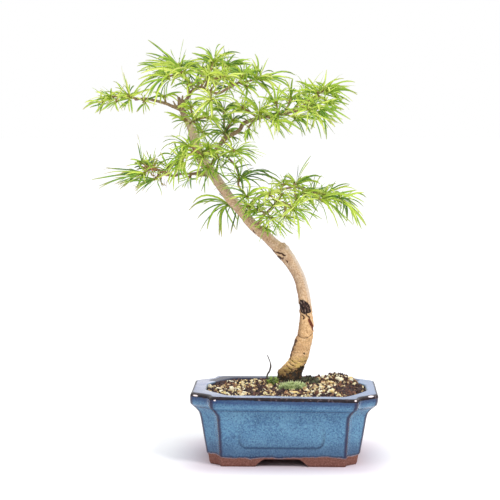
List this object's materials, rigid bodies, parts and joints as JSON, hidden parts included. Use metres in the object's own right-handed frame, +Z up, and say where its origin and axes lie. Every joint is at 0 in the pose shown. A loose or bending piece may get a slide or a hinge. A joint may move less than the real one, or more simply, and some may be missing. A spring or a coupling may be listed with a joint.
{
  "type": "golden larch bonsai in a glazed pot",
  "caption": "Small golden larch bonsai with a curved bare trunk and tufts of long soft needles, growing in a footed blue glazed rectangular pot with gritty soil.",
  "frame": {"origin": "centre of the whole object's bounding box in plan, at the level of the surface the pot's feet stand on", "axes": "+Z up along the trunk's rise, +X to the right along the pot's long side with the pot's front towards -Y, +Y towards the back"},
  "size_m": [0.2392, 0.113, 0.342],
  "materials": {
    "glazed_pot": "glossy mottled blue glaze, thin and brown at the edges, with bare red-brown clay feet",
    "drain_mesh": "dark matt plastic mesh",
    "soil": "gritty mix of cream and tan grains with dark bark",
    "pale_moss": "pale mint matt cushion",
    "green_moss": "bright green matt tuft",
    "dry_stem": "dark dry matt",
    "bark": "matt tan and beige bark with dark scars",
    "needles": "soft satin green, yellow-green towards the tips"
  },
  "bodies": {
    "root": {"pot": "glazed_pot", "drain_screen_left": "drain_mesh", "drain_screen_right": "drain_mesh", "soil": "soil", "moss_clump": "pale_moss", "moss_tuft": "green_moss", "dry_stem": "dry_stem", "trunk": "bark", "spray_far_left": "needles", "spray_left_spur": "needles", "spray_mid_left": "needles", "spray_left_hanging": "needles", "spray_top_back_left": "needles", "spray_top_front_left": "needles", "spray_crown": "needles", "spray_top_back": "needles", "spray_top_front": "needles", "spray_top_right_back": "needles", "spray_upper_right": "needles", "spray_front": "needles", "spray_trunk_right": "needles", "spray_inner_back": "needles", "spray_middle": "needles", "spray_middle_up": "needles", "spray_right_back": "needles", "spray_right": "needles", "spray_left_front": "needles", "spray_under": "needles", "spray_inner_front": "needles", "spray_hanging": "needles", "spray_low_left": "needles", "spray_low_back": "needles", "spray_low_top": "needles", "spray_low_right": "needles", "spray_low_front": "needles", "spray_low_front_left": "needles"}
  },
  "joints": []
}
